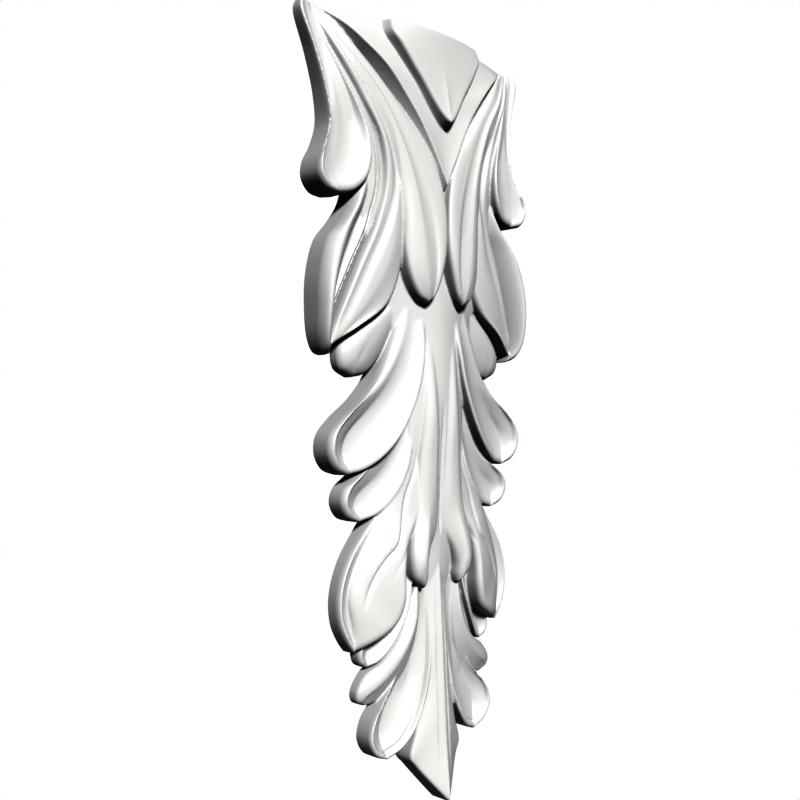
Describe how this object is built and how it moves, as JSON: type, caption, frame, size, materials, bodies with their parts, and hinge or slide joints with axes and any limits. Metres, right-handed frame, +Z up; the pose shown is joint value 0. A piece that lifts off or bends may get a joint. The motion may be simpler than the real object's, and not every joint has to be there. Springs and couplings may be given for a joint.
{
  "type": "carved onlay",
  "caption": "Tall carved acanthus onlay with a raised keystone block, layered scrolled leaves with hollow lobes, a pointed lower tip and a flat back for gluing to furniture or trim.",
  "frame": {"origin": "on the flat back, on the mirror plane, 150 mm below the top edge, within 1 mm of half the height", "axes": "+X to the right seen from the front, +Z up, the carving faces -Y and the flat back faces +Y"},
  "size_m": [0.1228, 0.0208, 0.2986],
  "materials": {
    "white_paint": "carved wood, primed and painted satin white"
  },
  "bodies": {
    "root": {"carved_onlay": "white_paint"}
  },
  "joints": []
}
